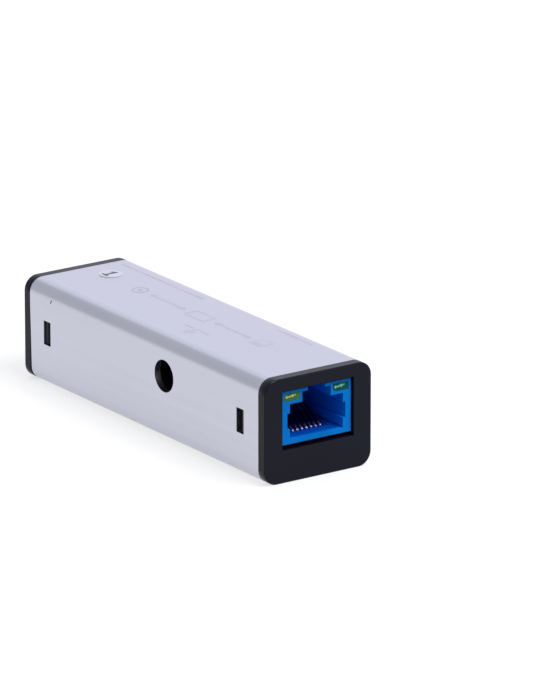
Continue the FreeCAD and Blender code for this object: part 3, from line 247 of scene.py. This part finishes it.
def turned_metal(name, color, roughness):
    """Turned steel: close rings left by the tool along Y."""
    skin = Surface(name, color, roughness, metallic=1.0)
    rings = skin.node("ShaderNodeTexWave", wave_type="BANDS", bands_direction="Y")
    rings.inputs["Scale"].default_value = 2200
    rings.inputs["Distortion"].default_value = 0.6
    skin.link(skin.place, rings.inputs["Vector"])
    skin.color_from(skin.ramp(rings.outputs["Fac"], tinted(color, 0.9), color))
    skin.bump(rings.outputs["Fac"], 0.15, 0.00001)
    return skin


def board_laminate():
    """Green solder resist over copper tracks that show as slightly paler lines."""
    color = srgb(14, 92, 52)
    skin = Surface("board_laminate", color, 0.34)
    tracks = skin.node("ShaderNodeTexBrick")
    tracks.inputs["Scale"].default_value = 420
    tracks.inputs["Mortar Size"].default_value = 0.06
    tracks.inputs["Color1"].default_value = color
    tracks.inputs["Color2"].default_value = tinted(color, 1.12)
    tracks.inputs["Mortar"].default_value = tinted(color, 1.6)
    skin.link(skin.place, tracks.inputs["Vector"])
    skin.color_from(tracks.outputs["Color"])
    skin.bump(tracks.outputs["Fac"], 0.2, 0.00003)
    return skin


def ceramic(name, color):
    skin = Surface(name, color, 0.22)
    skin.color_from(skin.ramp(skin.noise(500), tinted(color, 0.95), color, 0.35, 0.65))
    return skin


def ferrite():
    color = srgb(58, 58, 62)
    skin = Surface("ferrite", color, 0.55)
    speckle = skin.noise(1800, detail=5)
    skin.color_from(skin.ramp(speckle, tinted(color, 0.7), tinted(color, 1.25), 0.3, 0.7))
    skin.bump(speckle, 0.3, 0.00005)
    return skin


def winding_tape():
    color = srgb(214, 178, 62)
    skin = Surface("winding_tape", color, 0.32)
    turns = skin.node("ShaderNodeTexWave", wave_type="BANDS", bands_direction="Y")
    turns.inputs["Scale"].default_value = 900
    skin.link(skin.place, turns.inputs["Vector"])
    skin.color_from(skin.ramp(turns.outputs["Fac"], tinted(color, 0.8), color))
    skin.bump(turns.outputs["Fac"], 0.3, 0.00003)
    return skin


def tinted_lens(name, low, high):
    """Tinted resin, clouded through."""
    skin = Surface(name, high, 0.18, Specular_IOR_Level=0.1)
    cloud = skin.noise(700, detail=3)
    skin.color_from(skin.ramp(cloud, low, high, 0.3, 0.7))
    skin.rough_from(cloud, 0.14, 0.26)
    return skin


def label_paper():
    color = srgb(200, 201, 213)
    skin = Surface("label_paper", color, 0.6)
    fibres = skin.noise(2500, detail=4, stretch=(1, 0.3, 1))
    skin.color_from(skin.ramp(fibres, tinted(color, 0.97), color, 0.35, 0.65))
    skin.bump(fibres, 0.1, 0.00002)
    return skin


aluminium = extruded_aluminium()
tube_low, tube_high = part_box("housing_tube")
socket_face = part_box("rj45_housing")[0].y
nick_place = (tube_low.x, 30.6 * MM, 17.2 * MM)
nick_size = (0.3 * MM, 0.16 * MM, 0.48 * MM)
add_nick(aluminium, nick_place, nick_size, math.radians(28))
black_cap = moulded_plastic(
    "black_cap_plastic", srgb(12, 15, 31), 0.3, grain=3200, depth=0.14, Specular_IOR_Level=0.14)
blue_jack = moulded_plastic(
    "blue_jack_plastic", srgb(2, 124, 218), 0.34, depth=0.05, Specular_IOR_Level=0.06)
# Painted shade inside the socket's opening.
paint_socket_shade(blue_jack)
dark_insert = moulded_plastic("dark_insert_plastic", srgb(6, 36, 156), 0.5)
blue_port = moulded_plastic("blue_port_plastic", srgb(24, 96, 190), 0.38)
white_latch = moulded_plastic("white_latch_plastic", srgb(222, 222, 216), 0.42)
black_package = moulded_plastic("black_package", srgb(28, 28, 30), 0.55, grain=4200, depth=0.25)
jack_plastic = moulded_plastic(
    "power_jack_plastic", srgb(12, 12, 18), 0.42, Specular_IOR_Level=0.12)
bobbin = moulded_plastic("bobbin_plastic", srgb(44, 40, 38), 0.5)
chip_film = moulded_plastic("chip_film", srgb(30, 32, 38), 0.3)
gold = drawn_metal("gold_contact", srgb(156, 150, 160), 0.32, stretch=(1, 0.05, 1))
tips = socket_face + CONTACT_SETBACK
# Painted shade: the contacts turn dark grey a little behind their front bends, towards the back of
# the socket.
paint_shade_along(gold, "Y", tips + 0.2 * MM, tips + 0.7 * MM, srgb(60, 56, 70))
tinned = drawn_metal("tinned_lead", srgb(206, 206, 204), 0.34)
gold_wire = drawn_metal("gold_wire", srgb(226, 192, 120), 0.28)
nickel = drawn_metal("nickel_pin", srgb(210, 206, 198), 0.2, stretch=(0.05, 1, 1))
crystal_can = drawn_metal("crystal_can", srgb(212, 212, 208), 0.3, stretch=(1, 0.05, 1))
capacitor_skin = drawn_metal(
    "capacitor_aluminium", srgb(216, 216, 220), 0.32, stretch=(0.3, 0.3, 1))
stainless = turned_metal("stainless", srgb(200, 198, 194), 0.28)

surfaces = {
    aluminium: ["housing_tube"],
    black_cap: ["front_cap", "rear_cap"],
    board_laminate(): ["circuit_board"],
    blue_jack: ["rj45_housing"],
    dark_insert: ["rj45_contact_carrier"],
    gold: ["rj45_contacts"],
    tinted_lens("yellow_lens", srgb(40, 92, 54), srgb(68, 122, 82)): ["light_yellow"],
    tinted_lens("green_lens", srgb(0, 66, 60), srgb(2, 92, 88)): ["light_green"],
    tinned: [
        "light_leads", "signal_transformer_leads", "poe_controller_leads",
        "converter_chip_leads", "bridge_rectifier_leads", "power_jack_terminal",
        "power_jack_spring", "power_transformer_pins",
    ],
    gold_wire: ["optical_leads"],
    black_package: [
        "signal_transformer", "poe_controller", "converter_chip", "bridge_rectifiers",
        "power_inductor", "capacitor_bases",
    ],
    ceramic("chip_ceramic", srgb(176, 152, 122)): ["chip_capacitors"],
    chip_film: ["chip_resistors"],
    crystal_can: ["crystal"],
    capacitor_skin: ["capacitor_cans"],
    jack_plastic: ["power_jack_body"],
    nickel: ["power_jack_pin"],
    ferrite(): ["power_transformer_core"],
    bobbin: ["power_transformer_bobbin"],
    winding_tape(): ["power_transformer_winding"],
    blue_port: ["fibre_port_housing"],
    white_latch: ["fibre_latch_insert"],
    stainless: ["optical_barrel", "optical_block", "laser_can", "receiver_can"],
    ceramic("white_ceramic", srgb(240, 240, 236)): ["ferrule_sleeve", "fibre_stub"],
    label_paper(): ["number_label"],
}
for surface, names in surfaces.items():
    for name in names:
        mesh = nodes[name].data
        mesh.materials.clear()
        mesh.materials.append(surface.material)


def soften(name, width, segments=2):
    """Round a CAD node's sharp edges a little with modifiers, so that they catch the light."""
    piece = nodes[name]
    weld = piece.modifiers.new("weld", "WELD")
    weld.merge_threshold = 1e-6
    bevel = piece.modifiers.new("bevel", "BEVEL")
    bevel.width = width * MM
    bevel.segments = segments
    bevel.limit_method = "ANGLE"
    bevel.angle_limit = math.radians(40)
    bevel.harden_normals = True


# ---------------------------------------------------------------- camera, light and floor

def make_camera():
    right = Vector((0.8215, -0.5703, 0.0)).normalized()
    back = Vector((-0.5435, -0.7828, 0.3032)).normalized()
    up = back.cross(right)
    data = bpy.data.cameras.new("camera")
    data.lens = CAMERA_LENS
    data.sensor_width = 36
    data.clip_end = 20
    camera = bpy.data.objects.new("camera", data)
    turn = Matrix((right, up, back)).transposed().to_4x4()
    place = Vector((0, 0, CAMERA_AIM))
    place = place + back * CAMERA_AWAY + right * CAMERA_ASIDE + up * CAMERA_RAISE
    camera.matrix_world = Matrix.Translation(place) @ turn
    bpy.context.collection.objects.link(camera)
    bpy.context.scene.camera = camera


def soft_box(name, place, size, power):
    """Square lamp that looks at the object."""
    data = bpy.data.lights.new(name, "AREA")
    data.shape = "SQUARE"
    data.size = size
    data.energy = power
    lamp = bpy.data.objects.new(name, data)
    lamp.location = place
    lamp.rotation_euler = Vector(place).to_track_quat("Z", "Y").to_euler()
    bpy.context.collection.objects.link(lamp)


def seen_directly(tree):
    """One for camera, glossy and transmission rays, and zero for the rest."""
    path = tree.nodes.new("ShaderNodeLightPath")
    total = path.outputs["Is Camera Ray"]
    for name in ("Is Glossy Ray", "Is Transmission Ray"):
        add = tree.nodes.new("ShaderNodeMath")
        add.operation = "ADD"
        add.use_clamp = True
        tree.links.new(total, add.inputs[0])
        tree.links.new(path.outputs[name], add.inputs[1])
        total = add.outputs["Value"]
    return total, path.outputs["Is Camera Ray"]


def grade(tree, value, stops):
    """Colour ramp through (position, colour) stops."""
    ramp = tree.nodes.new("ShaderNodeValToRGB")
    elements = ramp.color_ramp.elements
    elements[0].position = stops[0][0]
    elements[-1].position = stops[-1][0]
    for position, _ in stops[1:-1]:
        elements.new(position)
    for element, (_, color) in zip(elements, stops):
        element.color = (*color, 1)
    tree.links.new(value, ramp.inputs["Fac"])
    return ramp.outputs["Color"]


def blend_between(tree, value, start, end, low, high):
    """Smooth step of a value from one level to another."""
    mapper = tree.nodes.new("ShaderNodeMapRange")
    mapper.interpolation_type = "SMOOTHSTEP"
    limits = {"From Min": start, "From Max": end, "To Min": low, "To Max": high}
    for socket, number in limits.items():
        mapper.inputs[socket].default_value = number
    tree.links.new(value, mapper.inputs["Value"])
    return mapper.outputs["Result"]


def make_world():
    """Pale studio: a white wall behind and to the right, a grey one to the left, a dim front."""
    world = bpy.data.worlds.new("studio")
    bpy.context.scene.world = world
    world.use_nodes = True
    tree = world.node_tree
    tree.nodes.clear()
    direction = tree.nodes.new("ShaderNodeTexCoord")
    split = tree.nodes.new("ShaderNodeSeparateXYZ")
    tree.links.new(direction.outputs["Generated"], split.inputs["Vector"])
    white_wall = grade(tree, split.outputs["Z"], [
        (0.0, WHITE_WALL), (0.66, WHITE_WALL), (0.8, UPPER_WALL), (1.0, CEILING),
    ])
    walls = tree.nodes.new("ShaderNodeMix")
    walls.data_type = "RGBA"
    rightward = blend_between(tree, split.outputs["X"], 0.0, 0.09, 0.0, 1.0)
    tree.links.new(rightward, walls.inputs["Factor"])
    walls.inputs["A"].default_value = (*GREY_WALL, 1)
    tree.links.new(white_wall, walls.inputs["B"])
    light = tree.nodes.new("ShaderNodeBackground")
    tree.links.new(walls.outputs["Result"], light.inputs["Color"])
    rearward = blend_between(tree, split.outputs["Y"], -0.98, -0.5, FRONT_DIM, 1.0)
    tree.links.new(rearward, light.inputs["Strength"])
    white = tree.nodes.new("ShaderNodeBackground")
    white.inputs["Color"].default_value = (1, 1, 1, 1)
    mix = tree.nodes.new("ShaderNodeMixShader")
    _, camera_ray = seen_directly(tree)
    tree.links.new(camera_ray, mix.inputs["Fac"])
    tree.links.new(light.outputs["Background"], mix.inputs[1])
    tree.links.new(white.outputs["Background"], mix.inputs[2])
    output = tree.nodes.new("ShaderNodeOutputWorld")
    tree.links.new(mix.outputs["Shader"], output.inputs["Surface"])


def make_floor():
    """Pale floor that reads as white and still takes the object's shadow."""
    mesh = bpy.data.meshes.new("floor")
    shape = bmesh.new()
    bmesh.ops.create_circle(shape, cap_ends=True, segments=96, radius=FLOOR_RADIUS)
    shape.to_mesh(mesh)
    shape.free()
    floor = bpy.data.objects.new("floor", mesh)
    floor.location.z = -FLOOR_DROP
    bpy.context.collection.objects.link(floor)
    material = bpy.data.materials.new("floor")
    material.use_nodes = True
    tree = material.node_tree
    shader = tree.nodes["Principled BSDF"]
    shader.inputs["Base Color"].default_value = (FLOOR_GREY, FLOOR_GREY, FLOOR_GREY, 1)
    shader.inputs["Roughness"].default_value = 0.9
    shader.inputs["Specular IOR Level"].default_value = 0.1
    shader.inputs["Emission Color"].default_value = (1, 1, 1, 1)
    seen, _ = seen_directly(tree)
    strength = tree.nodes.new("ShaderNodeMath")
    strength.operation = "MULTIPLY"
    strength.inputs[1].default_value = FLOOR_GLOW
    tree.links.new(seen, strength.inputs[0])
    tree.links.new(strength.outputs["Value"], shader.inputs["Emission Strength"])
    mesh.materials.append(material)


make_camera()
make_world()
make_floor()
soft_box("key", KEY_PLACE, KEY_SIZE, KEY_POWER)
bpy.context.scene.view_settings.view_transform = "Standard"

soften("front_cap", CAP_ROUNDING, 3)
soften("rear_cap", CAP_ROUNDING, 3)
soften("rj45_housing", SOCKET_ROUNDING)
soften("rj45_contacts", CONTACT_ROUNDING)

# ---------------------------------------------------------------- printed marks, and lamp lead frames whose pale colour is a painted glint

X = Vector((1, 0, 0))
Y = Vector((0, 1, 0))
Z = Vector((0, 0, 1))


def add_piece(name, shape, surface):
    """Turn a bmesh into a piece of the object that rides on its only body."""
    bmesh.ops.recalc_face_normals(shape, faces=shape.faces)
    mesh = bpy.data.meshes.new(name)
    shape.to_mesh(mesh)
    shape.free()
    mesh.materials.append(surface.material)
    piece = bpy.data.objects.new(name, mesh)
    bpy.context.collection.objects.link(piece)
    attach(piece, "root")
    return piece


def add_plate(shape, origin, across, upward, thickness, loop, hole=None):
    """Closed thin plate from a loop of millimetre points, with or without a hole of as many."""
    outward = across.cross(upward)

    def ring(points, lift):
        places = [origin + (across * x + upward * y + outward * lift) * MM for x, y in points]
        return [shape.verts.new(place) for place in places]

    walls = [(ring(loop, 0), ring(loop, thickness))]
    if hole:
        walls.append((ring(hole, 0), ring(hole, thickness)))
    for low, high in walls:
        for number in range(len(low)):
            after = (number + 1) % len(low)
            shape.faces.new((low[number], low[after], high[after], high[number]))
    if not hole:
        for outline in walls[0]:
            shape.faces.new(outline)
        return
    for level in (0, 1):
        outer, inner = walls[0][level], walls[1][level]
        for number in range(len(outer)):
            after = (number + 1) % len(outer)
            shape.faces.new((outer[number], outer[after], inner[after], inner[number]))


def arc_points(x, y, radius, start=0, turn=360, count=24):
    closed = turn == 360
    steps = count if closed else count - 1
    angles = [math.radians(start + turn * step / steps) for step in range(count)]
    return [(x + radius * math.cos(angle), y + radius * math.sin(angle)) for angle in angles]


def bar_points(x0, y0, x1, y1, width):
    """Bar with rounded ends between two points."""
    heading = math.degrees(math.atan2(y1 - y0, x1 - x0))
    ends = arc_points(x1, y1, width / 2, heading - 90, 180, 7)
    return ends + arc_points(x0, y0, width / 2, heading + 90, 180, 7)


def frame_points(x, y, width, height):
    return [(x - width / 2, y - height / 2), (x + width / 2, y - height / 2),
            (x + width / 2, y + height / 2), (x - width / 2, y + height / 2)]


def add_print():
    """Faint marks on top: sockets and arrows in the long row, plain dashes for the small print."""
    shape = bmesh.new()
    origin = Vector((0, 0, tube_high.z)) - Z * PRINT_SINK * MM

    def mark(loop, hole=None):
        add_plate(shape, origin, -Y, X, PRINT_THICKNESS, loop, hole)

    line = 0.42
    row = 1.25
    mark(arc_points(-20, row, 1.75), arc_points(-20, row, 1.75 - line))
    mark(arc_points(-20, row, 0.5))
    mark(frame_points(0, row, 6.4, 3.4), frame_points(0, row, 6.4 - 2 * line, 3.4 - 2 * line))
    mark(frame_points(20, row, 3.8, 3.4), frame_points(20, row, 3.8 - 2 * line, 3.4 - 2 * line))
    for step in (-0.9, -0.3, 0.3, 0.9):
        mark(bar_points(20 + step, row - 1.2, 20 + step, row - 0.3, 0.22))
    for start, end in ((-16.6, -4.8), (4.8, 16.6)):
        mark([(start + 1.5, row - line / 2), (end - 1.5, row - line / 2),
              (end - 1.5, row + line / 2), (start + 1.5, row + line / 2)])
        for tip, way in ((start, 1), (end, -1)):
            mark([(tip, row), (tip + way * 1.45, row - 0.85), (tip + way * 1.45, row + 0.85)])
    long_print = ((-35.6, 3.4), (-31.6, 2.0), (-29.0, 4.6), (-23.6, 2.4),
                  (-20.4, 5.2), (-14.4, 2.6), (-11.0, 2.6))
    short_print = ((15.4, 3.4), (19.6, 2.2), (22.6, 3.4))
    for dashes, height in ((long_print, 7.7), (short_print, 8.2)):
        for start, length in dashes:
            mark(bar_points(start, height, start + length, height, 0.5))
    mark([(5.2, -5.2), (8.0, -5.2), (6.6, -7.2)])
    mark(frame_points(6.6, -4.2, line, 1.7))
    for side in (-1, 1):
        mark(bar_points(6.6 + side * 1.3, -4.0, 6.6 + side * 3.6, -4.0, line))
    return add_piece("top_print", shape, ink)


def add_number():
    """Plain figure one on the round label, read from the rear towards the front."""
    low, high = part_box("number_label")
    centre = (low + high) / 2
    centre.z = high.z - FIGURE_SINK * MM    # just above the label, as level faces go black
    figure = [(-0.95, -1.55), (0.95, -1.55), (0.95, -1.0), (0.36, -1.0), (0.36, 1.55),
              (-0.14, 1.55), (-0.95, 0.95), (-0.95, 0.35), (-0.36, 0.7), (-0.36, -1.0),
              (-0.95, -1.0)]
    shape = bmesh.new()
    add_plate(shape, centre, -Y, X, FIGURE_THICKNESS, figure)
    return add_piece("label_number", shape, dark_ink)


def add_lamp_detail(node, name, surface):
    """Lead frame that shows through a lamp's resin, as pale plates on the lens front whose colour
    is a painted glint: two round pads and two bars between them.
    """
    low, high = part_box(node)
    centre = Vector(((low.x + high.x) / 2, low.y + 0.01 * MM, (low.z + high.z) / 2))
    shape = bmesh.new()
    outlines = (
        arc_points(-1.16, 0.06, 0.27, count=12),
        [(-0.84, -0.1), (-0.24, -0.04), (-0.24, 0.34), (-0.84, 0.2)],
        arc_points(0.1, 0.18, 0.3, count=12),
        [(0.46, 0.06), (0.8, 0.16), (0.8, 0.4), (0.46, 0.34)],
    )
    for outline in outlines:
        add_plate(shape, centre, X, Z, LEAD_FRAME_THICKNESS, outline)
    return add_piece(name, shape, surface)


ink = moulded_plastic("faint_ink", srgb(176, 174, 192), 0.5)
dark_ink = moulded_plastic("label_ink", srgb(78, 80, 94), 0.5)
# Pale lead-frame colours: painted glint of the metal seen through the resin.
yellow_frame_glint = ceramic("yellow_lead_frame_glint", srgb(186, 196, 110))
green_frame_glint = ceramic("green_lead_frame_glint", srgb(104, 204, 168))
add_print()
add_number()
add_lamp_detail("light_yellow", "yellow_lead_frame_glint", yellow_frame_glint)
add_lamp_detail("light_green", "green_lead_frame_glint", green_frame_glint)
